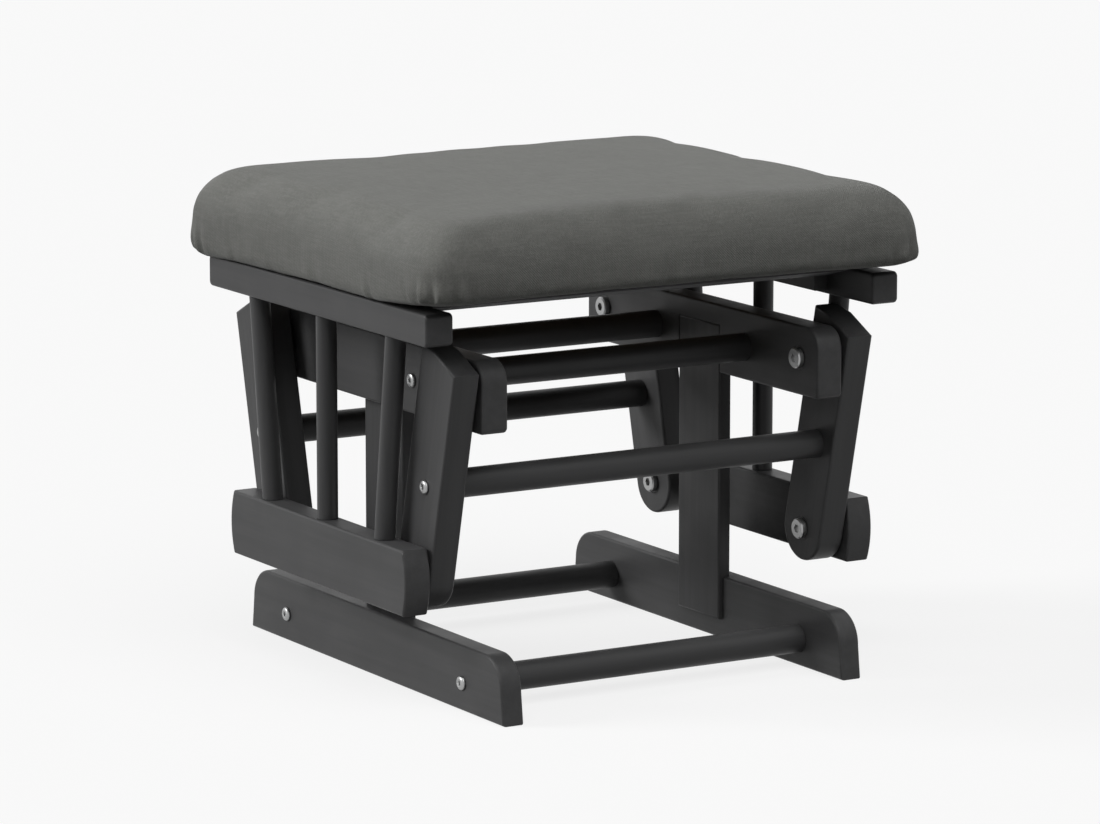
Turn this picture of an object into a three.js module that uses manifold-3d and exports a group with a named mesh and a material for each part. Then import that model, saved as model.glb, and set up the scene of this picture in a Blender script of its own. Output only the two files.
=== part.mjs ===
// Glider ottoman: a padded top on a wooden frame that swings on four arms from a fixed base.
// Millimetres. +X across, +Y from the front end to the rear end, +Z up, floor at zero.
import * as THREE from 'three';
import { mergeVertices } from 'three/addons/utils/BufferGeometryUtils.js';
import Module from 'manifold-3d';

const wasm = await Module();
wasm.setup();

// Clearances and cutting
const fit = 0.3;               // play between a piece and the hole or neighbour that takes it
const overrun = 2;             // how far a cutting solid reaches past the face it opens
const easing = 1.4;            // rounding along the edges of every board
const weld = 1e-4;             // points nearer than this are one point

// Floor to the top of the seat frame, where the cushion lies
const seatHeight = 307;

// Base, outside of one foot runner to the outside of the other
const baseWidth = 316;
const runner = { length: 400, height: 50, thickness: 18, noseRadius: 25, noseLean: 3 };
const topRail = { length: 340, height: 54, thickness: 22, drop: 94, cornerRadius: 17 };
const dowel = { diameter: 20 };
const footDowel = { setback: 61, height: 21.5 };
const topDowel = { spacing: 130, lift: 26 };
const upright = { width: 60, thickness: 11, recess: 11, footLap: 34, headLap: 38 };

// Swing arms and their pivots
const baseGap = 3.5;           // open space between an arm and the fixed top rail
const seatGap = 1.5;           // open space between an arm and the moving lower rail
const arm = { width: 51, thickness: 22, head: 31, chamferRun: 31, chamferDrop: 7, dowelOffset: 3 };
const topPivot = { setback: 27, lift: 29 };
const bottomPivot = { setback: 30.5 };
const pivotBolt = { shank: 8, head: 16, headHeight: 4.5, bite: 14, tip: 1, socket: 7, socketDepth: 2.2 };
const bush = { diameter: 18, flange: 26 };
const openPivotPlay = 1.6;     // extra bore at the rear bottom pivots, where the linkage is opened

// Seat frame
const lowerRail = { length: 281, height: 50, thickness: 21.5, underside: 76, endBulge: 5 };
const seatRail = { length: 346, height: 24.5, thickness: 23, cornerRadius: 4 };
const spindle = { diameter: 15, tenonDiameter: 10, tenonLength: 12, topSpacing: 217, bottomSpacing: 179 };
const deck = { setback: 33, thickness: 9 };
const cleat = { setback: 63, width: 12, height: 12 };

// Through bolts with button heads
const bolt = { head: 11, headHeight: 2.8, shank: 6.3, bite: 40, socket: 4, socketDepth: 1.6 };

// Cushion: how far it reaches past the seat frame at the sides and at the ends, and its form
const cushion = {
  sideOverhang: 10.5, endOverhang: 27, edgeHeight: 58, crown: 13, cornerRadius: 24, sidePull: 7, endPull: 11,
  bottomTuck: 9, bottomRound: 10, topTuck: 24, topRound: 36,
};

// Shares of a bolt's head: [radius, height]; and of the way from the cushion's rim to its middle
const domeShares = [[0.5, 0.3], [0.42, 0.72], [0.26, 1]];
const crownShares = [0.14, 0.34, 0.56, 0.78];
const undersideShares = [0.75, 0.35];
const crownFullness = 0.8;

const wood = new THREE.MeshStandardMaterial({ color: 0x3f3f40, roughness: 0.5, metalness: 0 });
const zinc = new THREE.MeshStandardMaterial({ color: 0xc4c5c6, roughness: 0.35, metalness: 1 });
const nylon = new THREE.MeshStandardMaterial({ color: 0x2a2a2b, roughness: 0.6, metalness: 0 });
const plywood = new THREE.MeshStandardMaterial({ color: 0x8f7a5e, roughness: 0.8, metalness: 0 });
const fabric = new THREE.MeshStandardMaterial({ color: 0x747470, roughness: 0.95, metalness: 0 });

const dowelSides = 20;
const boltSides = 16;
const tenonSides = 12;

// Places that follow from the sizes above
const baseFace = baseWidth / 2;
const armInner = baseFace + baseGap;
const armOuter = armInner + arm.thickness;
const seatInner = armOuter + seatGap;
const seatFace = seatInner + lowerRail.thickness;
const uprightFace = baseFace - upright.recess;
const topRailUnderside = seatHeight - topRail.drop;
const topPivotZ = topRailUnderside + topPivot.lift;
const bottomPivotZ = lowerRail.underside + lowerRail.height / 2;
const topPivotY = topRail.length / 2 - topPivot.setback;
const bottomPivotY = lowerRail.length / 2 - bottomPivot.setback;
const armLean = Math.atan2(topPivotY - bottomPivotY, topPivotZ - bottomPivotZ);
const armReach = Math.hypot(topPivotY - bottomPivotY, topPivotZ - bottomPivotZ);
const spindleX = seatInner + lowerRail.thickness / 2;
const lowerRailTop = lowerRail.underside + lowerRail.height;
const seatRailUnderside = seatHeight - seatRail.height;
const deckBottom = seatHeight - deck.thickness;
const cushionWidth = 2 * (seatFace + cushion.sideOverhang);
const cushionLength = seatRail.length + 2 * cushion.endOverhang;

// A closed geometry becomes a solid that can be joined and cut
function solid(geometry) {
  const bare = geometry.clone();
  bare.deleteAttribute('normal');
  bare.deleteAttribute('uv');
  const merged = mergeVertices(bare, weld);
  return new wasm.Manifold(new wasm.Mesh({
    numProp: 3,
    vertProperties: new Float32Array(merged.attributes.position.array),
    triVerts: new Uint32Array(merged.index.array),
  }));
}

function shell(body) {
  const { vertProperties, triVerts } = body.getMesh();
  const geometry = new THREE.BufferGeometry();
  geometry.setAttribute('position', new THREE.BufferAttribute(vertProperties, 3));
  geometry.setIndex(new THREE.BufferAttribute(triVerts, 1));
  geometry.computeVertexNormals();
  return geometry;
}

function cut(geometry, ...tools) {
  return shell(tools.reduce((body, tool) => body.subtract(solid(tool)), solid(geometry)));
}

function part(name, geometry, material) {
  const mesh = new THREE.Mesh(geometry, material);
  mesh.name = name;
  return mesh;
}

// A board: its outline lies in the Y-Z plane and its thickness runs along X from x0 to x1
function board(outline, x0, x1, curveSegments) {
  const geometry = new THREE.ExtrudeGeometry(outline, {
    depth: x1 - x0 - 2 * easing,
    bevelEnabled: true,
    bevelThickness: easing,
    bevelSize: easing,
    bevelOffset: -easing,
    bevelSegments: 2,
    curveSegments,
  });
  const axes = new THREE.Matrix4().makeBasis(
    new THREE.Vector3(0, 1, 0), new THREE.Vector3(0, 0, 1), new THREE.Vector3(1, 0, 0));
  return geometry.applyMatrix4(axes).translate(x0 + easing, 0, 0);
}

// A round bar between two points
function bar(from, to, diameter, sides = dowelSides) {
  const along = to.clone().sub(from);
  const geometry = new THREE.CylinderGeometry(diameter / 2, diameter / 2, along.length(), sides);
  const up = new THREE.Vector3(0, 1, 0);
  const turn = new THREE.Quaternion().setFromUnitVectors(up, along.clone().normalize());
  geometry.applyQuaternion(turn);
  const middle = from.clone().lerp(to, 0.5);
  return geometry.translate(middle.x, middle.y, middle.z);
}

function barAcross(x0, x1, y, z, diameter, sides) {
  return bar(new THREE.Vector3(x0, y, z), new THREE.Vector3(x1, y, z), diameter, sides);
}

function block(x0, x1, y0, y1, z0, z1) {
  return new THREE.BoxGeometry(x1 - x0, y1 - y0, z1 - z0)
    .translate((x0 + x1) / 2, (y0 + y1) / 2, (z0 + z1) / 2);
}

// A turned piece: profile points are [radius, distance along X]
function turned(profile, sides = boltSides) {
  const points = profile.map(([radius, along]) => new THREE.Vector2(radius, along));
  const axes = new THREE.Matrix4().makeBasis(
    new THREE.Vector3(0, 1, 0), new THREE.Vector3(1, 0, 0), new THREE.Vector3(0, 0, -1));
  return new THREE.LatheGeometry(points, sides).applyMatrix4(axes);
}

// Foot runner: a board on edge with its two upper corners rounded off
function runnerOutline() {
  const half = runner.length / 2;
  const { height, noseRadius, noseLean } = runner;
  const centre = half - noseLean - noseRadius;
  const outline = new THREE.Shape();
  outline.moveTo(-half, 0);
  outline.lineTo(half, 0);
  outline.absarc(centre, height - noseRadius, noseRadius, 0, Math.PI / 2, false);
  outline.absarc(-centre, height - noseRadius, noseRadius, Math.PI / 2, Math.PI, false);
  outline.closePath();
  return outline;
}

function roundedOutline(length, bottom, height, radius) {
  const y = length / 2 - radius;
  const low = bottom + radius;
  const high = bottom + height - radius;
  const outline = new THREE.Shape();
  outline.absarc(y, low, radius, -Math.PI / 2, 0, false);
  outline.absarc(y, high, radius, 0, Math.PI / 2, false);
  outline.absarc(-y, high, radius, Math.PI / 2, Math.PI, false);
  outline.absarc(-y, low, radius, Math.PI, 1.5 * Math.PI, false);
  outline.closePath();
  return outline;
}

// Lower rail: its ends bulge out in a shallow arc
function lowerRailOutline() {
  const { length, height, underside, endBulge } = lowerRail;
  const corner = length / 2 - endBulge;
  const radius = (height * height / 4 + endBulge * endBulge) / (2 * endBulge);
  const centre = length / 2 - radius;
  const sweep = Math.asin(height / 2 / radius);
  const middle = underside + height / 2;
  const outline = new THREE.Shape();
  outline.moveTo(-corner, underside);
  outline.lineTo(corner, underside);
  outline.absarc(centre, middle, radius, -sweep, sweep, false);
  outline.lineTo(-corner, underside + height);
  outline.absarc(-centre, middle, radius, Math.PI - sweep, Math.PI + sweep, false);
  return outline;
}

// Swing arm in its own frame: top pivot at the origin, +Z up the arm, outward the way it leans
function armOutline(outward) {
  const half = arm.width / 2;
  const bottomStart = outward > 0 ? Math.PI : 0;
  const outline = new THREE.Shape();
  outline.moveTo(-outward * half, arm.head);
  outline.absarc(0, -armReach, half, bottomStart, bottomStart + outward * Math.PI, outward < 0);
  outline.lineTo(outward * half, arm.head - arm.chamferDrop);
  outline.lineTo(outward * (half - arm.chamferRun), arm.head);
  outline.closePath();
  return outline;
}

// Housing cut into the inner face of a board for the upright, open at one end
function housing(inner, bottom, top) {
  const half = upright.width / 2 + fit;
  return block(inner - overrun, uprightFace + fit, -half, half, bottom, top);
}

function runnerPiece() {
  const inner = baseFace - runner.thickness;
  const slot = housing(inner, runner.height - upright.footLap - fit, runner.height + overrun);
  const holes = [-1, 1].map((end) => barAcross(
    inner - overrun, baseFace + overrun, end * footDowelY(), footDowel.height,
    bolt.shank + 2 * fit, tenonSides));
  return cut(board(runnerOutline(), inner, baseFace, 4), slot, ...holes);
}

function footDowelY() {
  return runner.length / 2 - footDowel.setback;
}

// Fixed top rail, bored near its ends for the bushes the arms hang from
function topRailPiece() {
  const outline = roundedOutline(topRail.length, topRailUnderside, topRail.height, topRail.cornerRadius);
  const inner = baseFace - topRail.thickness;
  const ends = [-1, 1];
  const bores = ends.map((end) => barAcross(
    inner - overrun, baseFace + overrun, end * topPivotY, topPivotZ, bush.diameter + 2 * fit));
  const holes = ends.map((end) => barAcross(
    inner - overrun, baseFace + overrun, end * topDowel.spacing / 2, topDowelZ(),
    bolt.shank + 2 * fit, tenonSides));
  const slot = housing(inner, topRailUnderside - overrun, topRailUnderside + upright.headLap + fit);
  return cut(board(outline, inner, baseFace, 3), slot, ...bores, ...holes);
}

function topDowelZ() {
  return topRailUnderside + topDowel.lift;
}

// Upright: a flat board let into the inner faces of the runner and the top rail
function uprightPiece() {
  const half = upright.width / 2;
  const bottom = runner.height - upright.footLap;
  const top = topRailUnderside + upright.headLap;
  const outline = new THREE.Shape([
    new THREE.Vector2(-half, bottom), new THREE.Vector2(half, bottom),
    new THREE.Vector2(half, top), new THREE.Vector2(-half, top),
  ]);
  return board(outline, uprightFace - upright.thickness, uprightFace, 1);
}

// Cross dowel, bored at each end for the bolt that holds it
function crossDowel(half, y, z) {
  const bores = [-1, 1].map((end) => barAcross(
    end * (half - bolt.bite - fit), end * (half + overrun), y, z, bolt.shank + 2 * fit, tenonSides));
  return cut(barAcross(-half, half, y, z, dowel.diameter), ...bores);
}

// Bolt: a button head with a six-sided socket, standing on the outer face at x
function boltPiece(x, grip, y, z) {
  const { head, headHeight, shank, bite, socket, socketDepth } = bolt;
  const end = -(grip + bite);
  const dome = domeShares.map(([out, up]) => [out * head, up * headHeight]);
  const body = turned([
    [0, end], [shank / 2, end], [shank / 2, 0], [head / 2, 0], ...dome, [0, headHeight],
  ]);
  const recess = barAcross(headHeight - socketDepth, headHeight + overrun, 0, 0, socket, 6);
  return cut(body, recess).translate(x, y, z);
}

// Pivot bolt: flat round head at x, shank running outwards for a length
function pivotBoltPiece(x, length, y, z) {
  const { shank, head, headHeight, tip, socket, socketDepth } = pivotBolt;
  const body = turned([
    [0, -headHeight], [head / 2 - tip, -headHeight], [head / 2, tip - headHeight], [head / 2, 0],
    [shank / 2, 0], [shank / 2, length - tip], [shank / 2 - tip, length], [0, length],
  ]);
  const recess = barAcross(-headHeight - overrun, socketDepth - headHeight, 0, 0, socket, 6);
  return cut(body, recess).translate(x, y, z);
}

// Bush pressed through a board from x, with a flange that fills the gap beyond the board
function bushPiece(x, thickness, gap, y, z, play) {
  const bore = pivotBolt.shank / 2 + fit + play;
  const body = bush.diameter / 2;
  const flange = bush.flange / 2;
  const face = thickness + gap - fit;
  return turned([
    [bore, 0], [body, 0], [body, thickness], [flange, thickness], [flange, face], [bore, face], [bore, 0],
  ], dowelSides).translate(x, y, z);
}

function armPiece(outward) {
  const top = barAcross(armInner - overrun, armInner + pivotBolt.bite + fit, 0, 0,
    pivotBolt.shank + 2 * fit);
  const middle = barAcross(armInner - overrun, armOuter + overrun, outward * arm.dowelOffset, -armReach / 2,
    bolt.shank + 2 * fit, tenonSides);
  const bottom = barAcross(armInner - overrun, armOuter + overrun, 0, -armReach,
    bush.diameter + 2 * fit);
  return cut(board(armOutline(outward), armInner, armOuter, 8), top, middle, bottom);
}

// Spindle: leans in the fan, its shoulders cut level with the rails, a tenon at each end
function spindlePlaces() {
  return [-1, 0, 1].map((place) => {
    const top = new THREE.Vector3(spindleX, place * spindle.topSpacing / 2, seatRailUnderside);
    const bottom = new THREE.Vector3(spindleX, place * spindle.bottomSpacing / 2, lowerRailTop);
    return { top, bottom, along: top.clone().sub(bottom).normalize() };
  });
}

function spindleBar({ top, bottom, along }, extra, diameter, sides) {
  return bar(bottom.clone().addScaledVector(along, -extra), top.clone().addScaledVector(along, extra),
    diameter, sides);
}

function spindlePiece(place) {
  const { diameter, tenonDiameter, tenonLength } = spindle;
  const span = solid(block(spindleX - diameter, spindleX + diameter, -seatRail.length, seatRail.length,
    lowerRailTop, seatRailUnderside));
  const stem = solid(spindleBar(place, diameter, diameter, dowelSides)).intersect(span);
  return shell(stem.add(solid(spindleBar(place, tenonLength, tenonDiameter, tenonSides))));
}

function spindleSockets() {
  return spindlePlaces().map((place) => spindleBar(
    place, spindle.tenonLength + fit, spindle.tenonDiameter + 2 * fit, tenonSides));
}

function lowerRailPiece() {
  const holes = [-1, 1].map((end) => barAcross(
    seatInner - overrun, seatInner + pivotBolt.bite + fit, end * bottomPivotY, bottomPivotZ,
    pivotBolt.shank + 2 * fit));
  return cut(board(lowerRailOutline(), seatInner, seatFace, 3), ...holes, ...spindleSockets());
}

function seatRailPiece() {
  const outline = roundedOutline(seatRail.length, seatRailUnderside, seatRail.height, seatRail.cornerRadius);
  return cut(board(outline, seatFace - seatRail.thickness, seatFace, 1), ...spindleSockets());
}

// Cushion: level rings from the middle of the bottom, out round the side and up to the crown.
// Each ring is a rounded rectangle whose sides draw in between the corners.
function cushionRing(inset, z) {
  const halfX = cushionWidth / 2 - inset;
  const halfY = cushionLength / 2 - inset;
  const radius = Math.min(cushion.cornerRadius, halfX, halfY);
  const flatX = halfX - radius;
  const flatY = halfY - radius;
  const cornerSteps = 4;
  const sideSteps = 9;
  const fullness = Math.min(halfX, halfY) / (Math.min(cushionWidth, cushionLength) / 2);
  const points = [];
  for (let quarter = 0; quarter < 4; quarter += 1) {
    const along = quarter % 2 === 0 ? flatY : flatX;
    const out = quarter % 2 === 0 ? halfX : halfY;
    const across = quarter % 2 === 0 ? flatX : flatY;
    const pull = fullness * (quarter % 2 === 0 ? cushion.sidePull : cushion.endPull);
    const turn = quarter * Math.PI / 2;
    const place = (forward, side) => points.push(new THREE.Vector3(
      forward * Math.cos(turn) - side * Math.sin(turn), forward * Math.sin(turn) + side * Math.cos(turn), z));
    for (let step = 0; step < sideSteps; step += 1) {
      const t = -1 + 2 * step / sideSteps;
      place(out - pull * Math.cos(t * Math.PI / 2) ** 2, t * along);
    }
    for (let step = 0; step < cornerSteps; step += 1) {
      const angle = step / cornerSteps * Math.PI / 2;
      place(across + radius * Math.cos(angle), along + radius * Math.sin(angle));
    }
  }
  return points;
}

function cushionGeometry() {
  const { edgeHeight, crown, bottomTuck, bottomRound, topTuck, topRound } = cushion;
  const base = seatHeight + fit;
  const shoulder = base + edgeHeight;
  const reach = Math.min(cushionWidth, cushionLength) / 2;
  const rings = [];
  for (const share of undersideShares) {
    rings.push(cushionRing(bottomTuck + (reach - bottomTuck) * share, base));
  }
  const roundSteps = 3;
  for (let step = 0; step <= roundSteps; step += 1) {
    const angle = step / roundSteps * Math.PI / 2;
    rings.push(cushionRing(bottomTuck * (1 - Math.sin(angle)), base + bottomRound * (1 - Math.cos(angle))));
  }
  const sideHeight = shoulder - topRound;
  for (let step = 1; step <= roundSteps + 1; step += 1) {
    const angle = step / (roundSteps + 1) * Math.PI / 2;
    rings.push(cushionRing(topTuck * (1 - Math.cos(angle)), sideHeight + topRound * Math.sin(angle)));
  }
  for (const share of crownShares) {
    const rise = crown * Math.sin(share * Math.PI / 2) ** crownFullness;
    rings.push(cushionRing(topTuck + (reach - topTuck) * share, shoulder + rise));
  }
  const around = rings[0].length;
  const top = new THREE.Vector3(0, 0, shoulder + crown);
  const vertices = [new THREE.Vector3(0, 0, base), ...rings.flat(), top];
  const last = vertices.length - 1;
  const faces = [];
  const at = (ring, step) => 1 + ring * around + step % around;
  for (let step = 0; step < around; step += 1) {
    faces.push(0, at(0, step + 1), at(0, step));
    for (let ring = 0; ring + 1 < rings.length; ring += 1) {
      faces.push(at(ring, step), at(ring, step + 1), at(ring + 1, step + 1));
      faces.push(at(ring, step), at(ring + 1, step + 1), at(ring + 1, step));
    }
    faces.push(at(rings.length - 1, step), at(rings.length - 1, step + 1), last);
  }
  const geometry = new THREE.BufferGeometry().setFromPoints(vertices);
  geometry.setIndex(faces);
  geometry.computeVertexNormals();
  return geometry;
}

// Each side is built at +X; the left one is turned half a circle, so its ends change places
const ottoman = new THREE.Group();

for (const [side, turn] of [['right', 0], ['left', Math.PI]]) {
  const frame = new THREE.Group();
  frame.rotation.z = turn;
  ottoman.add(frame);
  const endName = (end) => ((end > 0) === (turn === 0) ? 'rear' : 'front');

  frame.add(part(`foot_runner_${side}`, runnerPiece(), wood));
  frame.add(part(`top_rail_${side}`, topRailPiece(), wood));
  frame.add(part(`upright_${side}`, uprightPiece(), wood));
  frame.add(part(`lower_rail_${side}`, lowerRailPiece(), wood));
  frame.add(part(`seat_rail_${side}`, seatRailPiece(), wood));
  const seatRailInner = seatFace - seatRail.thickness;
  const cleatHalf = seatRail.length / 2 - cleat.setback;
  frame.add(part(`deck_cleat_${side}`, block(seatRailInner - cleat.width, seatRailInner,
    -cleatHalf, cleatHalf, deckBottom - cleat.height, deckBottom), wood));
  spindlePlaces().forEach((place, index) => {
    const name = index === 1 ? 'middle' : endName(index - 1);
    frame.add(part(`spindle_${side}_${name}`, spindlePiece(place), wood));
  });

  for (const end of [-1, 1]) {
    const name = `${side}_${endName(end)}`;
    frame.add(part(`foot_bolt_${name}`,
      boltPiece(baseFace, runner.thickness, end * footDowelY(), footDowel.height), zinc));
    frame.add(part(`top_bolt_${name}`,
      boltPiece(baseFace, topRail.thickness, end * topDowel.spacing / 2, topDowelZ()), zinc));
    const play = endName(end) === 'rear' ? openPivotPlay : 0;
    const topRailInner = baseFace - topRail.thickness;
    frame.add(part(`top_bush_${name}`, bushPiece(
      topRailInner, topRail.thickness, baseGap, end * topPivotY, topPivotZ, 0), nylon));
    frame.add(part(`bottom_bush_${name}`, bushPiece(
      armInner, arm.thickness, seatGap, end * bottomPivotY, bottomPivotZ, play), nylon));
    frame.add(part(`top_pivot_bolt_${name}`, pivotBoltPiece(topRailInner - fit,
      topRail.thickness + fit + baseGap + pivotBolt.bite, end * topPivotY, topPivotZ), zinc));
    frame.add(part(`bottom_pivot_bolt_${name}`, pivotBoltPiece(armInner - fit,
      fit + arm.thickness + seatGap + pivotBolt.bite, end * bottomPivotY, bottomPivotZ), zinc));

    const lean = new THREE.Group();
    lean.position.set(0, end * topPivotY, topPivotZ);
    lean.rotation.x = -end * armLean;
    lean.add(part(`swing_arm_${name}`, armPiece(end), wood));
    lean.add(part(`arm_bolt_${name}`,
      boltPiece(armOuter, arm.thickness, end * arm.dowelOffset, -armReach / 2), zinc));
    frame.add(lean);
  }
}

for (const [end, name] of [[-1, 'front'], [1, 'rear']]) {
  ottoman.add(part(`foot_dowel_${name}`,
    crossDowel(baseFace - runner.thickness, end * footDowelY(), footDowel.height), wood));
  ottoman.add(part(`top_dowel_${name}`,
    crossDowel(baseFace - topRail.thickness, end * topDowel.spacing / 2, topDowelZ()), wood));
  const out = (topPivotY + bottomPivotY) / 2 + arm.dowelOffset * Math.cos(armLean);
  const up = (topPivotZ + bottomPivotZ) / 2 - arm.dowelOffset * Math.sin(armLean);
  ottoman.add(part(`arm_dowel_${name}`, crossDowel(armInner, end * out, up), wood));
}

const deckHalf = seatFace - seatRail.thickness - fit;
const deckEnd = seatRail.length / 2 - deck.setback;
ottoman.add(part('seat_deck', block(
  -deckHalf, deckHalf, -deckEnd, deckEnd, deckBottom, seatHeight), plywood));
ottoman.add(part('cushion', cushionGeometry(), fabric));

export default ottoman;
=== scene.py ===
"""Glider ottoman: a padded top on a painted wooden frame that swings on four arms."""
import math
import random

import bmesh
import bpy
from mathutils import Matrix, Vector, noise


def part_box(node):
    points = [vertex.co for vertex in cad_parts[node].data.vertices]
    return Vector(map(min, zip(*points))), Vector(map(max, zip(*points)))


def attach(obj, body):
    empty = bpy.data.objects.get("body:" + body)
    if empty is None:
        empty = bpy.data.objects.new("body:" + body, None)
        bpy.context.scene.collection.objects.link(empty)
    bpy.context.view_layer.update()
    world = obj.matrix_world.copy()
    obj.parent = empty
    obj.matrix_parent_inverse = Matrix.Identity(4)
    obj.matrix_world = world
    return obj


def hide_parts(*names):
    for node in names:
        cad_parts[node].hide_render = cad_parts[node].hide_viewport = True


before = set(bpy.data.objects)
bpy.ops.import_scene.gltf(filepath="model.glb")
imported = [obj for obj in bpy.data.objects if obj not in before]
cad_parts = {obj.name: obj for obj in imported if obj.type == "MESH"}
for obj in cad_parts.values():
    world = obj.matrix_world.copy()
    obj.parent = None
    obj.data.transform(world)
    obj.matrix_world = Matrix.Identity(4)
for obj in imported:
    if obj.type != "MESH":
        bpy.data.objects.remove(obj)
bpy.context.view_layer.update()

bl_info = {
    "name": "Glider Ottoman",
    "version": (1, 0, 0),
    "blender": (4, 5, 0),
    "location": "View3D > Sidebar > Ottoman",
    "description": "Builds a glider ottoman around its packed frame",
    "category": "Object",
}

SIDES = ("left", "right")
ENDS = ("front", "rear")
SPINDLE_PLACES = ("front", "middle", "rear")
ACROSS = Vector((1, 0, 0))
QUARTER = math.pi / 2
WHITE = (1, 1, 1, 1)

# Faces round a hole for a bolt, round a bush or a turned piece, and in a hex socket
BOLT_SIDES = 32
ROUND_SIDES = 48
HEX_SIDES = 6
SHARP_ANGLE = math.radians(32)
TINY = 1e-6

# Joinery, in metres: room round what goes into a hole, and how far a cutter runs past a face
PLAY = 0.0003
OVERRUN = 0.002

# Shapes of the boards
RUNNER_LEAN = 0.003
RAIL_BULGE = 0.005
ARM_HALF_WIDTH = 0.0255
ARM_HEAD = 0.031
ARM_HEAD_DROP = 0.007
ARM_HEAD_RUN = 0.031
CLEAT_EDGE = 0.0008
DECK_EDGE = 0.0006
DECK_BEVEL_RUN = 0.028
DECK_LIP = 0.0015
BAR_EASE = 0.0006
DOWEL_SOCKET = 0.0403

# Spindles: half the distance between the outer two, at their feet and at their heads. The rails
# have the holes for the solids' tenons, and the ends of the bars are hollowed by as much
SPINDLE_FOOT = 0.0895
SPINDLE_HEAD = 0.1085
SPINDLE_TENON = 0.012
SPINDLE_TENON_RADIUS = 0.005
MORTISE_LIP = 0.004

# Bolts of the dowels
BOLT_SHANK = 0.00315
BOLT_TIP = 0.0008
BOLT_HEAD_HEIGHT = 0.0028
BOLT_HEAD_EASE = 0.0004
BOLT_HEAD_WALL = 0.3
BOLT_HEAD_FLAT = 0.54
BOLT_HEAD_STEPS = 8
BOLT_SOCKET_RADIUS = 0.002
BOLT_SOCKET_DEPTH = 0.0016

# Pivot bolts and their bushes; the rear bottom bushes are wider, for the linkage's mismatch
PIVOT_SHANK = 0.004
PIVOT_BITE = 0.0143
PIVOT_HEAD = 0.008
PIVOT_HEAD_HEIGHT = 0.0045
PIVOT_TIP = 0.001
PIVOT_EASE = 0.0003
PIVOT_SOCKET_RADIUS = 0.0035
PIVOT_SOCKET_DEPTH = 0.0022
BUSH_BODY = 0.009
BUSH_FLANGE = 0.013
BUSH_EASE = 0.0008
REAR_BUSH_PLAY = 0.0016

# Cushion: its blank's side turns under the pad, stands straight and rolls over the top edge
FOAM_CUTS = 39
UNDER_TURN = 0.22
STRAIGHT_TURN = 0.3
BLANK_LIFT = 0.0003
SWELL_FRAMES = 20
TAUT_FROM = 0.022
EASE_ROUNDS = 7
FOAM_SHRINK = 0.6
CROWN_FULLNESS = 0.8

# Cover: its hollows and ripples start above its rest, it rises in front and hangs past the rails
GATHER_SEED = 11
REST_HEIGHT = 0.014
HOLLOW_DEPTH, HOLLOW_SCALE = 0.0011, 11
RIPPLE_DEPTH, RIPPLE_SCALE = 0.00035, Vector((26, 26, 60))
HOLLOW_OFFSET, RIPPLE_OFFSET = Vector((3.7, 1.9, 8.3)), Vector((0.4, 5.2, 2.8))
LIFT_START, LIFT_FULL, LIFT_HEIGHT = -0.08, 0.024, 0.036
DROOP_START, DROOP_FULL, DROOP_HEIGHT = -0.0006, 0.0018, 0.02

# Gathers round a corner: where they begin, and how uneven they are
PULL_AT_CORNER = 0.3
GATHER_START, GATHER_FULL = -0.022, 0.004
GATHER_SIDE = -0.002
GATHER_CENTRE = 0.012
GATHER_FOOT = 0.002
GATHER_UNEVEN = 0.35
FOLD_SKEW = 0.7
FOLD_SINK = 0.3

# Pulls along a side: their spacing, and the least and most of width, depth and share of height
PULL_MARGIN = 0.035
PULL_FIRST = (0.035, 0.06)
PULL_SPACING = (0.03, 0.06)
PULL_WIDTH = (0.0045, 0.008)
PULL_DEPTH = (0.0005, 0.0015)
PULL_SHARE = (0.45, 1.0)
PULL_REACH = 5
RIDGE_PLACE, RIDGE_SHARE = 1.7, 0.75

# Pulls along the left side of the cushion: place along Y, width, depth and height
LEFT_PULLS = [
    (-0.098, 0.0042, 0.0019, 0.022),
    (-0.008, 0.0075, 0.0011, 0.03),
    (0.061, 0.0055, 0.0008, 0.018),
    (0.118, 0.005, 0.0011, 0.024),
]

# Where the lamps and the camera stand
KEY_FROM, KEY_WIDTH = (-0.75, 0.45, 0.43), 25
OVERHEAD_FROM, OVERHEAD_WIDTH = (-0.1, -0.46, 0.88), 60
LAMP_DISTANCE = 3
CAMERA_PLACE = Vector((-2.107, -3.569, 0.94))
CAMERA_AIM = Vector((0.0, 0.0, 0.19))
SENSOR_WIDTH = 36
FLOOR_SIZE = 12
FLOOR_DROP = 0.0002
FLOOR_SEEN = (0.98, 0.98, 0.98)
FLOOR_GLOW = 0.8


# Sizes and colours that a user would change

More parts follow.
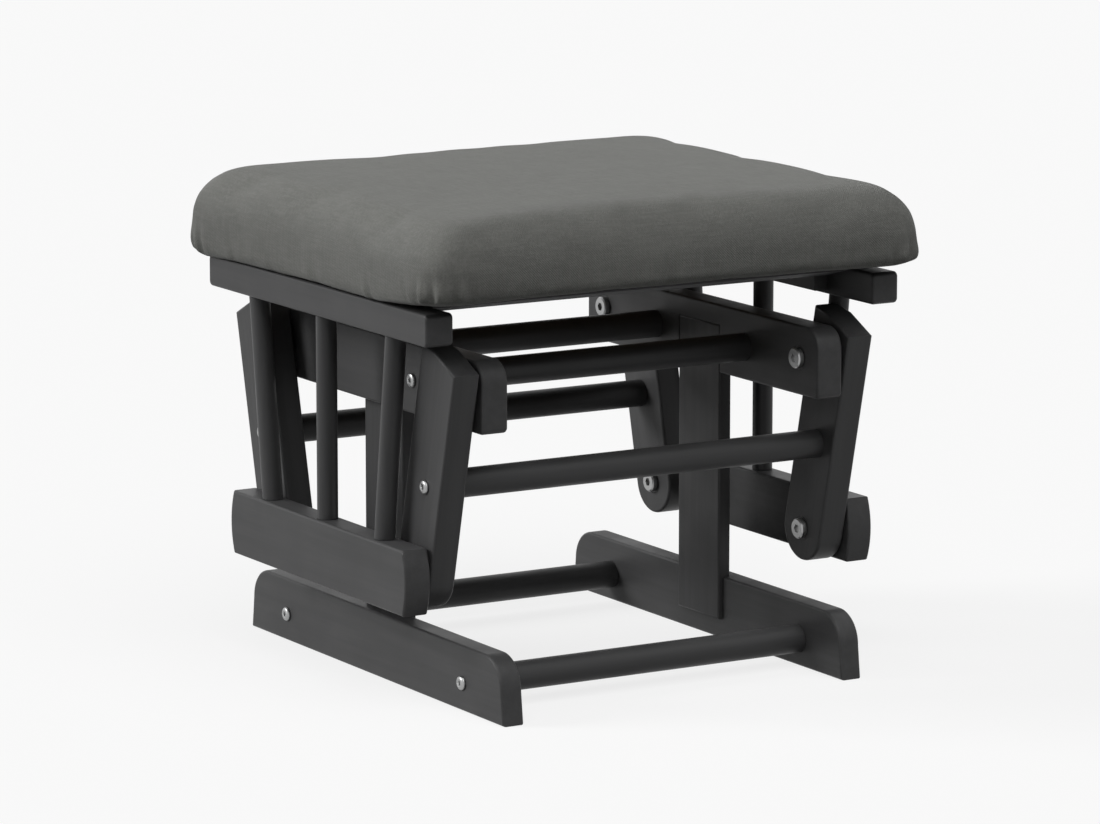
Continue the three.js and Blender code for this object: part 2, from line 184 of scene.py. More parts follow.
class OttomanWood(bpy.types.PropertyGroup):
    edge: bpy.props.FloatProperty(
        name="Edge rounding", description="Radius along the edges of the boards",
        default=0.0022, min=0.0002, unit="LENGTH")
    nose: bpy.props.FloatProperty(
        name="Runner nose", description="Radius of the foot runners' upper corners",
        default=0.025, min=0.001, unit="LENGTH")
    rail_corner: bpy.props.FloatProperty(
        name="Top rail corner", description="Radius of the fixed top rails' upper corners",
        default=0.017, min=0.001, unit="LENGTH")
    rail_foot: bpy.props.FloatProperty(
        name="Top rail foot", description="Radius of the fixed top rails' lower corners",
        default=0.0045, min=0.0005, unit="LENGTH")
    seat_rail_corner: bpy.props.FloatProperty(
        name="Seat rail corner", description="Radius of the seat rails' corners",
        default=0.004, min=0.0005, unit="LENGTH")
    dowel: bpy.props.FloatProperty(
        name="Cross dowel", description="Diameter of the cross dowels",
        default=0.022, min=0.016, unit="LENGTH")
    spindle: bpy.props.FloatProperty(
        name="Spindle", description="Diameter of the leaning spindles",
        default=0.016, min=0.012, unit="LENGTH")
    paint: bpy.props.FloatVectorProperty(
        name="Paint", description="Colour of the painted wood",
        default=(0.061, 0.061, 0.062), min=0, max=1, subtype="COLOR")
    paint_roughness: bpy.props.FloatProperty(
        name="Paint roughness", description="Roughness of the satin paint",
        default=0.46, min=0, max=1, subtype="FACTOR")


class OttomanCushion(bpy.types.PropertyGroup):
    voxel: bpy.props.FloatProperty(
        name="Cloth cell", description="Size of the cloth's cells before it is blown up",
        default=0.005, min=0.003, unit="LENGTH")
    pressure: bpy.props.FloatProperty(
        name="Pressure", description="How hard the filling pushes the cover out",
        default=4.0, min=0)
    reach: bpy.props.FloatProperty(
        name="Swell", description="The most that the cover may move outwards",
        default=0.007, min=0, unit="LENGTH")
    cloth: bpy.props.FloatVectorProperty(
        name="Cloth", description="Colour of the cover",
        default=(0.176, 0.178, 0.166), min=0, max=1, subtype="COLOR")
    crown: bpy.props.FloatProperty(
        name="Crown", description="How far the middle of the top stands above its edge",
        default=0.0045, min=0, unit="LENGTH")
    proud: bpy.props.FloatProperty(
        name="Stands proud", description="How far the cover stands above the pad it is cut for",
        default=0.0015, min=0, unit="LENGTH")
    corner: bpy.props.FloatProperty(
        name="Corner", description="Radius of the corners, seen from above",
        default=0.024, min=0.005, unit="LENGTH")
    side_pull: bpy.props.FloatProperty(
        name="Side pull", description="How far the long sides draw in between the corners",
        default=0.0045, min=0, unit="LENGTH")
    end_pull: bpy.props.FloatProperty(
        name="End pull", description="How far the ends draw in between the corners",
        default=0.011, min=0, unit="LENGTH")
    top_round: bpy.props.FloatVectorProperty(
        name="Top rounding", description="Width and height of the roll over the upper edge",
        default=(0.026, 0.038), min=0.002, size=2, unit="LENGTH")
    bottom_round: bpy.props.FloatVectorProperty(
        name="Bottom rounding", description="Width and height of the roll under the lower edge",
        default=(0.006, 0.0075), min=0.001, size=2, unit="LENGTH")
    front_lift: bpy.props.FloatProperty(
        name="Front lift", description="How far the underside rises in front, past the deck",
        default=0.007, min=0, unit="LENGTH")
    droop: bpy.props.FloatProperty(
        name="Droop", description="How far the lower edge hangs down past the rails",
        default=0.003, min=0, unit="LENGTH")
    pleats: bpy.props.IntProperty(
        name="Pleats", description="Folds in the cover round each lower corner",
        default=4, min=0)
    pleat_depth: bpy.props.FloatProperty(
        name="Pleat depth", description="Depth of a fold at the lower edge",
        default=0.0027, min=0, unit="LENGTH")
    pleat_height: bpy.props.FloatProperty(
        name="Pleat height", description="How far up the side the folds run",
        default=0.032, min=0.005, unit="LENGTH")
    weave: bpy.props.FloatProperty(
        name="Weave", description="Distance from one thread to the next",
        default=0.001, min=0.0002, unit="LENGTH")


class OttomanStage(bpy.types.PropertyGroup):
    lens: bpy.props.FloatProperty(
        name="Lens", description="Focal length of the camera, in millimetres",
        default=178.0, min=20)
    floor: bpy.props.FloatVectorProperty(
        name="Floor", description="Colour of the floor",
        default=(0.18, 0.18, 0.18), min=0, max=1, subtype="COLOR")
    key: bpy.props.FloatProperty(
        name="Key light", description="Strength of the soft light from the left",
        default=1.75, min=0)
    overhead: bpy.props.FloatProperty(
        name="Overhead light", description="Strength of the broad light from above",
        default=1.56, min=0)
    surround: bpy.props.FloatProperty(
        name="Surround", description="Strength of the light from all round",
        default=0.05, min=0)


# Material nodes

def new_material(name):
    material = bpy.data.materials.new(name)
    material.use_nodes = True
    tree = material.node_tree
    return material, tree, tree.nodes["Principled BSDF"]


def fill(tree, made, sockets):
    """Sets a node's sockets, with a link where a value comes from another node."""
    for name, value in sockets.items():
        if isinstance(value, bpy.types.NodeSocket):
            tree.links.new(value, made.inputs[name])
        else:
            made.inputs[name].default_value = value


def node(tree, kind, sockets=None, **settings):
    made = tree.nodes.new(kind)
    for name, value in settings.items():
        setattr(made, name, value)
    fill(tree, made, sockets or {})
    return made


def coords(tree, turn=(0, 0, 0)):
    place = node(tree, "ShaderNodeTexCoord").outputs["Object"]
    mapping = node(tree, "ShaderNodeMapping", {"Vector": place, "Rotation": turn})
    return mapping.outputs["Vector"]


def drawn_out(tree, vector, scale):
    """A pattern's place, drawn out along the axes whose scale is small."""
    mapping = node(tree, "ShaderNodeMapping", {"Vector": vector, "Scale": scale})
    return mapping.outputs["Vector"]


def split(tree, vector):
    return node(tree, "ShaderNodeSeparateXYZ", {"Vector": vector}).outputs


def noise_node(tree, vector, scale, detail=3.0, roughness=0.5):
    made = node(tree, "ShaderNodeTexNoise", {
        "Vector": vector, "Scale": scale, "Detail": detail, "Roughness": roughness,
    })
    return made.outputs["Fac"]


def ramp(tree, value, low, high, start=0.0, end=1.0):
    """A value that is low up to start and high from end on."""
    made = node(tree, "ShaderNodeMapRange", {
        "Value": value, "From Min": start, "From Max": end, "To Min": low, "To Max": high,
    })
    return made.outputs["Result"]


def blend_colours(tree, value, first, second):
    made = node(tree, "ShaderNodeMix", {"Factor": value}, data_type="RGBA")
    for socket, colour in (("A", first), ("B", second)):
        target = next(s for s in made.inputs if s.name == socket and s.type == "RGBA")
        if isinstance(colour, bpy.types.NodeSocket):
            tree.links.new(colour, target)
        else:
            target.default_value = (*colour, 1)
    return next(s for s in made.outputs if s.type == "RGBA")


def math_node(tree, operation, *values):
    made = node(tree, "ShaderNodeMath", dict(enumerate(values)), operation=operation)
    return made.outputs["Value"]


def total(tree, values):
    made = values[0]
    for value in values[1:]:
        made = math_node(tree, "ADD", made, value)
    return made


def bump(tree, height, distance, strength, base=None):
    """Raises the surface by a pattern, over an earlier bump if there is one."""
    sockets = {"Height": height, "Distance": distance, "Strength": strength}
    if base is not None:
        sockets["Normal"] = base
    return node(tree, "ShaderNodeBump", sockets).outputs["Normal"]


def mix_shaders(tree, share, first, second, output):
    made = node(tree, "ShaderNodeMixShader", {0: share, 1: first, 2: second})
    tree.links.new(made.outputs["Shader"], tree.nodes[output].inputs["Surface"])


def seen_directly(tree):
    """One for rays from the camera, from gloss and through glass, nought for the rest."""
    path = node(tree, "ShaderNodeLightPath").outputs
    gloss = math_node(tree, "MAXIMUM", path["Is Glossy Ray"], path["Is Transmission Ray"])
    return math_node(tree, "MAXIMUM", path["Is Camera Ray"], gloss)


def shade(colour, factor):
    return tuple(min(1.0, channel * factor) for channel in colour)


# Materials

GRAIN_TURNS = {
    "across": (0, QUARTER, 0),
    "along": (QUARTER, 0, 0),
    "upright": (0, 0, 0),
}


def painted_wood(grain, turn=None):
    """Painted wood, whose grain runs one way and only just shows through the satin paint."""
    name = f"painted_wood_{grain}"
    if name in bpy.data.materials:
        return bpy.data.materials[name]
    settings = bpy.context.scene.ottoman_wood
    colour, rough = tuple(settings.paint), settings.paint_roughness
    material, tree, shader = new_material(name)
    vector = coords(tree, turn or GRAIN_TURNS[grain])
    along = drawn_out(tree, vector, (1, 1, 0.045))
    fibres = noise_node(tree, along, scale=900, detail=4, roughness=0.6)
    figure = noise_node(tree, along, scale=120, roughness=0.55)
    mottle = noise_node(tree, vector, scale=22)
    spray = noise_node(tree, vector, scale=1500, detail=2)
    figure = ramp(tree, figure, low=0, high=1, start=0.35, end=0.65)
    worn = ramp(tree, mottle, low=0, high=0.35, start=0.4, end=0.7)
    tone = blend_colours(tree, figure, shade(colour, 0.9), shade(colour, 1.1))
    tone = blend_colours(tree, worn, tone, shade(colour, 1.22))
    grain_bump = bump(tree, fibres, distance=0.00006, strength=0.55)
    fill(tree, shader, {
        "Base Color": tone,
        "Roughness": ramp(tree, mottle, low=rough - 0.06, high=rough + 0.08, start=0.3, end=0.7),
        "Normal": bump(tree, spray, distance=0.00003, strength=0.4, base=grain_bump),
        "Specular IOR Level": 0.22,
    })
    return material


def zinc_steel():
    """Plated steel, a little cloudy."""
    if "zinc_steel" in bpy.data.materials:
        return bpy.data.materials["zinc_steel"]
    material, tree, shader = new_material("zinc_steel")
    vector = coords(tree)
    cloud = noise_node(tree, vector, scale=260)
    fine = noise_node(tree, vector, scale=2600, detail=2)
    fill(tree, shader, {
        "Base Color": blend_colours(tree, cloud, (0.29, 0.295, 0.3), (0.4, 0.4, 0.395)),
        "Metallic": 1.0,
        "Roughness": ramp(tree, cloud, low=0.3, high=0.42, start=0.3, end=0.7),
        "Normal": bump(tree, fine, distance=0.00001, strength=0.4),
    })
    return material


def moulded_nylon():
    """Dark nylon with a fine moulded grain."""
    if "moulded_nylon" in bpy.data.materials:
        return bpy.data.materials["moulded_nylon"]
    material, tree, shader = new_material("moulded_nylon")
    vector = coords(tree)
    cloud = noise_node(tree, vector, scale=300, detail=2)
    fine = noise_node(tree, vector, scale=3000, detail=2)
    fill(tree, shader, {
        "Base Color": blend_colours(tree, cloud, (0.022, 0.022, 0.023), (0.034, 0.034, 0.034)),
        "Roughness": ramp(tree, cloud, low=0.42, high=0.55),
        "Normal": bump(tree, fine, distance=0.00001, strength=0.5),
    })
    return material


def raw_plywood():
    """Bare plywood, with the frame's paint on the two ends that show."""
    material, tree, shader = new_material("raw_plywood")
    along = drawn_out(tree, coords(tree, GRAIN_TURNS["across"]), (1, 1, 0.05))
    figure = noise_node(tree, along, scale=70, detail=5, roughness=0.6)
    fibres = noise_node(tree, along, scale=700, roughness=0.6)
    bands = ramp(tree, figure, low=0, high=1, start=0.35, end=0.65)
    streaks = ramp(tree, fibres, low=0, high=0.4, start=0.5, end=0.7)
    tone = blend_colours(tree, bands, (0.34, 0.235, 0.135), (0.5, 0.37, 0.23))
    tone = blend_colours(tree, streaks, tone, (0.23, 0.15, 0.085))
    ragged = math_node(tree, "MULTIPLY", math_node(tree, "SUBTRACT", fibres, 0.5), 0.02)
    place = math_node(tree, "ABSOLUTE", split(tree, coords(tree))["Y"])
    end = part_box("seat_deck")[1].y
    overspray = ramp(tree, math_node(tree, "ADD", place, ragged), low=0, high=1,
                     start=end - 0.052, end=end - 0.034)
    paint = tuple(bpy.context.scene.ottoman_wood.paint)
    fill(tree, shader, {
        "Base Color": blend_colours(tree, overspray, tone, paint),
        "Roughness": 0.75,
        "Normal": bump(tree, fibres, distance=0.00012, strength=0.6),
    })
    return material


def woven_cloth():
    """A woven cover: on each face two sets of threads cross, with a soft nap over them."""
    settings = bpy.context.scene.ottoman_cushion
    colour = tuple(settings.cloth)
    material, tree, shader = new_material("woven_cloth")
    place = split(tree, node(tree, "ShaderNodeTexCoord").outputs["Object"])
    facing = split(tree, node(tree, "ShaderNodeNewGeometry").outputs["Normal"])
    turns = math.pi / settings.weave
    waves = {axis: math_node(tree, "SINE", math_node(tree, "MULTIPLY", place[axis], turns))
             for axis in "XYZ"}
    crossings = []
    for axis in "XYZ":
        first, second = (other for other in "XYZ" if other != axis)
        crossing = math_node(tree, "MULTIPLY", waves[first], waves[second])
        share = math_node(tree, "POWER", math_node(tree, "ABSOLUTE", facing[axis]), 2)
        crossings.append(math_node(tree, "MULTIPLY", crossing, share))
    weave = total(tree, crossings)
    vector = coords(tree)
    slub = noise_node(tree, vector, scale=900)
    nap = noise_node(tree, vector, scale=45, detail=4)
    yarn = total(tree, [
        noise_node(tree, drawn_out(tree, vector, scale), scale=620, detail=2, roughness=0.6)
        for scale in ((1, 0.07, 1), (0.07, 1, 1), (1, 1, 0.07))
    ])
    tone = blend_colours(tree, ramp(tree, weave, low=0, high=1, start=-1, end=1),
                         shade(colour, 0.84), shade(colour, 1.1))
    for pattern, high, start, end, tint in (
            (yarn, 0.75, 1.35, 1.75, 1.28),
            (nap, 0.3, 0.4, 0.68, 1.25),
            (slub, 0.3, 0.5, 0.75, 0.7)):
        share = ramp(tree, pattern, low=0, high=high, start=start, end=end)
        tone = blend_colours(tree, share, tone, shade(colour, tint))
    threads = bump(tree, weave, distance=0.00016, strength=0.8)
    threads = bump(tree, yarn, distance=0.0002, strength=0.4, base=threads)
    threads = bump(tree, slub, distance=0.00015, strength=0.5, base=threads)
    fill(tree, shader, {
        "Base Color": tone,
        "Normal": bump(tree, nap, distance=0.0008, strength=0.35, base=threads),
        "Roughness": 0.92,
        "Specular IOR Level": 0.2,
        "Sheen Weight": 0.22,
        "Sheen Roughness": 0.45,
    })
    return material


# Mesh tools

def into_object(name, bm, material, weighted=True):
    mesh = bpy.data.meshes.new(name)
    bm.to_mesh(mesh)
    bm.free()
    obj = bpy.data.objects.new(name, mesh)
    bpy.context.scene.collection.objects.link(obj)
    mesh.shade_smooth()
    mesh.set_sharp_from_angle(angle=SHARP_ANGLE)
    mesh.materials.append(material)
    if weighted:
        even = obj.modifiers.new("even_normals", "WEIGHTED_NORMAL")
        even.keep_sharp = True
    return obj


def settle(obj):
    """Applies the piece's modifiers and its place, so that a plain mesh at the origin is left."""
    bpy.context.view_layer.update()
    graph = bpy.context.evaluated_depsgraph_get()
    mesh = bpy.data.meshes.new_from_object(obj.evaluated_get(graph), depsgraph=graph)
    old = obj.data
    obj.modifiers.clear()
    obj.data = mesh
    bpy.data.meshes.remove(old)
    mesh.name = obj.name
    mesh.transform(obj.matrix_world)
    obj.matrix_world = Matrix.Identity(4)
    return obj


def between(start, end):
    """The matrix that takes a bar round the origin, along Z, to stand between two points."""
    turn = Vector((0, 0, 1)).rotation_difference(end - start).to_matrix().to_4x4()
    return Matrix.Translation((start + end) / 2) @ turn


def round_bar(bm, length, radius, sides, place=Matrix.Identity(4)):
    bmesh.ops.create_cone(
        bm, cap_ends=True, segments=sides, radius1=radius, radius2=radius, depth=length,
        matrix=place)


def cut_holes(obj, bars, blocks=()):
    """Bores holes, each (from, to, radius, sides), and cuts out blocks, each (low, high)."""
    bm = bmesh.new()
    for low, high in blocks:
        low, high = Vector(low), Vector(high)
        size = Matrix.Diagonal((*(high - low), 1))
        bmesh.ops.create_cube(bm, size=1, matrix=Matrix.Translation((low + high) / 2) @ size)
    for start, end, radius, sides in bars:
        start, end = Vector(start), Vector(end)
        round_bar(bm, (end - start).length, radius, sides, between(start, end))
    mesh = bpy.data.meshes.new("cutter")
    bm.to_mesh(mesh)
    bm.free()
    cutter = bpy.data.objects.new("cutter", mesh)
    bpy.context.scene.collection.objects.link(cutter)
    drill = obj.modifiers.new("holes", "BOOLEAN")
    drill.operation = "DIFFERENCE"
    drill.solver = "EXACT"
    drill.object = cutter
    obj.modifiers.move(len(obj.modifiers) - 1, 0)
    settle(obj)
    bpy.data.objects.remove(cutter)
    bpy.data.meshes.remove(mesh)
    return obj


def bore(start_x, end_x, spot, radius, sides=BOLT_SIDES):
    """A hole along X through a spot, as cut_holes takes it."""
    return (start_x, spot.y, spot.z), (end_x, spot.y, spot.z), radius, sides


def through(low, high, spot, radius, sides=BOLT_SIDES):
    return bore(low.x - OVERRUN, high.x + OVERRUN, spot, radius, sides)


def pen(x, moves):
    """A closed outline in the Y-Z plane at x.

    A move is ("line", y, z), or ("arc", centre y, centre z, angle, steps) from the last point.
    """
    bm = bmesh.new()
    last = None
    for kind, y, z, *more in moves:
        if kind == "line":
            vert = bm.verts.new((x, y, z))
            if last is not None:
                bm.edges.new((last, vert))
            last = vert
        else:
            angle, steps = more
            spun = bmesh.ops.spin(
                bm, geom=[last], cent=(x, y, z), axis=ACROSS, angle=angle, steps=steps,
                use_merge=False)
            last = next(v for v in spun["geom_last"] if isinstance(v, bmesh.types.BMVert))
    bmesh.ops.remove_doubles(bm, verts=bm.verts, dist=TINY)
    ends = [v for v in bm.verts if len(v.link_edges) == 1]
    if ends:
        bm.edges.new(ends)
    bmesh.ops.contextual_create(bm, geom=list(bm.edges))
    return bm


def extrude(bm, faces, vec):
    """Extrudes faces and moves the new ones by vec."""
    out = bmesh.ops.extrude_face_region(bm, geom=faces)
    moved = [item for item in out["geom"] if isinstance(item, bmesh.types.BMVert)]
    bmesh.ops.translate(bm, vec=vec, verts=moved)


def thicken(bm, depth, edge):
    """Gives an outline its thickness along X and rounds the two rims."""
    extrude(bm, list(bm.faces), (depth, 0, 0))
    bmesh.ops.recalc_face_normals(bm, faces=bm.faces)
    rims = [e for e in bm.edges if abs(e.verts[0].co.x - e.verts[1].co.x) < TINY]
    bmesh.ops.bevel(
        bm, geom=rims, offset=edge, offset_type="OFFSET", segments=3, profile=0.5,
        affect="EDGES", material=-1, clamp_overlap=False)
    return bm


def plain_moves(low, high):
    """The outline of a square-cut board."""
    return [("line", low.y, low.z), ("line", high.y, low.z), ("line", high.y, high.z),
            ("line", low.y, high.z)]


def rounded_moves(y, low, high, radius, foot, steps):
    """The outline of a board from -y to y, its upper corners of radius, its lower ones of foot."""
    inner, sole = y - radius, y - foot
    moves = [("line", sole, low)]
    for centre_y, centre_z, stop_y, stop_z in (
            (sole, low + foot, y, high - radius), (inner, high - radius, -inner, high),
            (-inner, high - radius, -y, low + foot), (-sole, low + foot, None, None)):
        moves.append(("arc", centre_y, centre_z, QUARTER, steps))
        if stop_y is not None:
            moves.append(("line", stop_y, stop_z))
    return moves


def board(name, ending, moves, edge, material):
    """A board cut to an outline, as thick along X as its node, with its rims rounded."""
    low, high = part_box(name)
    bm = thicken(pen(low.x, moves), high.x - low.x, edge)
    return into_object(f"{name}_{ending}", bm, material)


def rod(name, start, end, radius, material, hollow_ends=False):
    """A round bar between two points, with eased ends and, if asked, a round hole in each."""
    start, end = Vector(start), Vector(end)
    bm = bmesh.new()
    round_bar(bm, (end - start).length, radius, ROUND_SIDES)
    caps = [f for f in bm.faces if len(f.verts) == ROUND_SIDES]
    rims = list({e for f in caps for e in f.edges})
    bmesh.ops.bevel(
        bm, geom=rims, offset=BAR_EASE, offset_type="OFFSET", segments=2, profile=0.5,
        affect="EDGES", material=-1)
    if hollow_ends:
        rim = radius - BAR_EASE - SPINDLE_TENON_RADIUS
        for cap in [f for f in bm.faces if len(f.verts) == ROUND_SIDES]:
            bmesh.ops.inset_region(bm, faces=[cap], thickness=rim)
            inwards = -1 if cap.normal.z > 0 else 1
            extrude(bm, [cap], (0, 0, inwards * SPINDLE_TENON))
            if cap.is_valid:
                bmesh.ops.delete(bm, geom=[cap], context="FACES_ONLY")
    bmesh.ops.transform(bm, matrix=between(start, end), verts=bm.verts)
    return into_object(name, bm, material)


def turned(name, profile, material):
    """A piece turned about the X axis, from (radius, place along X) points."""
    bm = bmesh.new()
    verts = [bm.verts.new((along, radius, 0)) for radius, along in profile]
    edges = [bm.edges.new(pair) for pair in zip(verts, verts[1:])]
    bmesh.ops.spin(
        bm, geom=verts + edges, cent=(0, 0, 0), axis=ACROSS, angle=2 * math.pi,
        steps=ROUND_SIDES, use_merge=True)
    bmesh.ops.remove_doubles(bm, verts=bm.verts, dist=TINY)
    bmesh.ops.dissolve_degenerate(bm, edges=bm.edges, dist=TINY / 10)
    bmesh.ops.recalc_face_normals(bm, faces=bm.faces)
    return into_object(name, bm, material)


def set_against(obj, side, face, spot):
    """Moves a piece that was turned at the origin to a face, so that it points outwards."""
    if side == "left":
        obj.data.transform(Matrix.Rotation(math.pi, 4, "Z"))
    obj.data.transform(Matrix.Translation((face, spot.y, spot.z)))


def place_piece(obj, body, name):
    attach(obj, body)
    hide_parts(name)


# Where things are

def side_sign(side):
    return 1 if side == "right" else -1


def middle(name):
    low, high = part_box(name)
    return (low + high) / 2


def arm_body(end):
    return f"{end}_arms"


def dowel_holes(low, high, kind):
    return [through(low, high, middle(f"{kind}_{end}"), BOLT_SHANK + PLAY) for end in ENDS]


def upright_housing(side, low, high, above):
    """The block that lets an upright into a board's inner face, open at the board's top or foot."""
    post_low, post_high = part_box(f"upright_{side}")
    x0, x1 = post_low.x - PLAY, post_high.x + PLAY
    if side == "right":
        x0 = min(low.x, x0) - OVERRUN
    else:
        x1 = max(high.x, x1) + OVERRUN
    z0, z1 = low.z - OVERRUN, post_high.z + PLAY
    if above:
        z0, z1 = post_low.z - PLAY, high.z + OVERRUN
    return (x0, post_low.y - PLAY, z0), (x1, post_high.y + PLAY, z1)


# Pieces

class OTTOMAN_OT_runners(bpy.types.Operator):
    """Adds the two foot runners, boards on edge with rounded upper corners"""
    bl_idname = "ottoman.runners"
    bl_label = "Foot runners"

    def execute(self, context):
        settings = context.scene.ottoman_wood
        nose = settings.nose
        for side in SIDES:
            name = f"foot_runner_{side}"
            low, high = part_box(name)
            centre = high.y - RUNNER_LEAN - nose
            obj = board(name, "board", [
                ("line", low.y, low.z), ("line", high.y, low.z),
                ("line", centre + nose, high.z - nose),
                ("arc", centre, high.z - nose, QUARTER, 16), ("line", -centre, high.z),
                ("arc", -centre, high.z - nose, QUARTER, 16),
            ], settings.edge, painted_wood("along"))
            slot = upright_housing(side, low, high, above=True)
            cut_holes(obj, dowel_holes(low, high, "foot_dowel"), [slot])
            place_piece(obj, "base", name)
        return {"FINISHED"}


class OTTOMAN_OT_top_rails(bpy.types.Operator):
    """Adds the two fixed top rails that the arms hang from"""
    bl_idname = "ottoman.top_rails"
    bl_label = "Top rails"

    def execute(self, context):
        settings = context.scene.ottoman_wood
        for side in SIDES:
            name = f"top_rail_{side}"
            low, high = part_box(name)
            moves = rounded_moves(
                high.y, low.z, high.z, settings.rail_corner, settings.rail_foot, steps=12)
            obj = board(name, "board", moves, settings.edge, painted_wood("along"))
            bars = dowel_holes(low, high, "top_dowel")
            for end in ENDS:
                spot = middle(f"top_pivot_bolt_{side}_{end}")
                bars.append(through(low, high, spot, BUSH_BODY + PLAY, ROUND_SIDES))
            cut_holes(obj, bars, [upright_housing(side, low, high, above=False)])
            place_piece(obj, "base", name)
        return {"FINISHED"}


class OTTOMAN_OT_uprights(bpy.types.Operator):
    """Adds the two flat uprights, let into the inner faces of the runners and the top rails"""
    bl_idname = "ottoman.uprights"
    bl_label = "Uprights"

    def execute(self, context):
        edge = context.scene.ottoman_wood.edge * 0.7
        for side in SIDES:
            name = f"upright_{side}"
            moves = plain_moves(*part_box(name))
            obj = settle(board(name, "board", moves, edge, painted_wood("upright")))
            place_piece(obj, "base", name)
        return {"FINISHED"}


class OTTOMAN_OT_dowels(bpy.types.Operator):
    """Adds the cross dowels that join the two sides of the base and the two arms of each end"""
    bl_idname = "ottoman.dowels"
    bl_label = "Cross dowels"

    def execute(self, context):
        radius = context.scene.ottoman_wood.dowel / 2
        bolt = BOLT_SHANK + PLAY
        for kind in ("foot_dowel", "top_dowel", "arm_dowel"):
            for end in ENDS:
                name = f"{kind}_{end}"
                low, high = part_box(name)
                spot = middle(name)
                obj = rod(f"{name}_bar", (low.x, spot.y, spot.z), (high.x, spot.y, spot.z),
                          radius, painted_wood("across"))
                cut_holes(obj, [
                    bore(low.x - OVERRUN, low.x + DOWEL_SOCKET, spot, bolt),
                    bore(high.x - DOWEL_SOCKET, high.x + OVERRUN, spot, bolt),
                ])
                body = arm_body(end) if kind == "arm_dowel" else "base"
                place_piece(obj, body, name)
        return {"FINISHED"}


class OTTOMAN_OT_arms(bpy.types.Operator):
    """Adds the four swing arms, boards with a half-round foot and a sloped head"""
    bl_idname = "ottoman.arms"
    bl_label = "Swing arms"

    def execute(self, context):
        edge = context.scene.ottoman_wood.edge
        for end in ENDS:
            for side in SIDES:
                self.arm(side, end, edge)
        return {"FINISHED"}

    def arm(self, side, end, edge):
        name = f"swing_arm_{side}_{end}"
        low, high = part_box(name)
        top = middle(f"top_pivot_bolt_{side}_{end}")
        bottom = middle(f"bottom_pivot_bolt_{side}_{end}")
        reach = math.hypot(top.y - bottom.y, top.z - bottom.z)
        lean = math.atan2(abs(top.y - bottom.y), top.z - bottom.z)
        if end == "front":
            lean = -lean
        bm = pen(low.x, [
            ("line", -ARM_HALF_WIDTH, ARM_HEAD), ("line", -ARM_HALF_WIDTH, -reach),
            ("arc", 0, -reach, math.pi, 32), ("line", ARM_HALF_WIDTH, ARM_HEAD - ARM_HEAD_DROP),
            ("line", ARM_HALF_WIDTH - ARM_HEAD_RUN, ARM_HEAD),
        ])
        thicken(bm, high.x - low.x, edge)
        if end == "front":
            bmesh.ops.scale(bm, vec=(1, -1, 1), verts=bm.verts)
            bmesh.ops.reverse_faces(bm, faces=bm.faces)
        place = Matrix.Translation((0, top.y, top.z)) @ Matrix.Rotation(-lean, 4, "X")
        bmesh.ops.transform(bm, matrix=place, verts=bm.verts)
        obj = into_object(f"{name}_board", bm, painted_wood(f"lean_{end}", (lean, 0, 0)))
        inner, outer = (low.x, high.x) if side == "right" else (high.x, low.x)
        out = side_sign(side)
        start, stop = inner - out * OVERRUN, outer + out * OVERRUN
        cut_holes(obj, [
            bore(start, inner + out * PIVOT_BITE, top, PIVOT_SHANK + PLAY),
            bore(start, stop, middle(f"arm_dowel_{end}"), BOLT_SHANK + PLAY),
            bore(start, stop, bottom, BUSH_BODY + PLAY, ROUND_SIDES),
        ])
        place_piece(obj, arm_body(end), name)


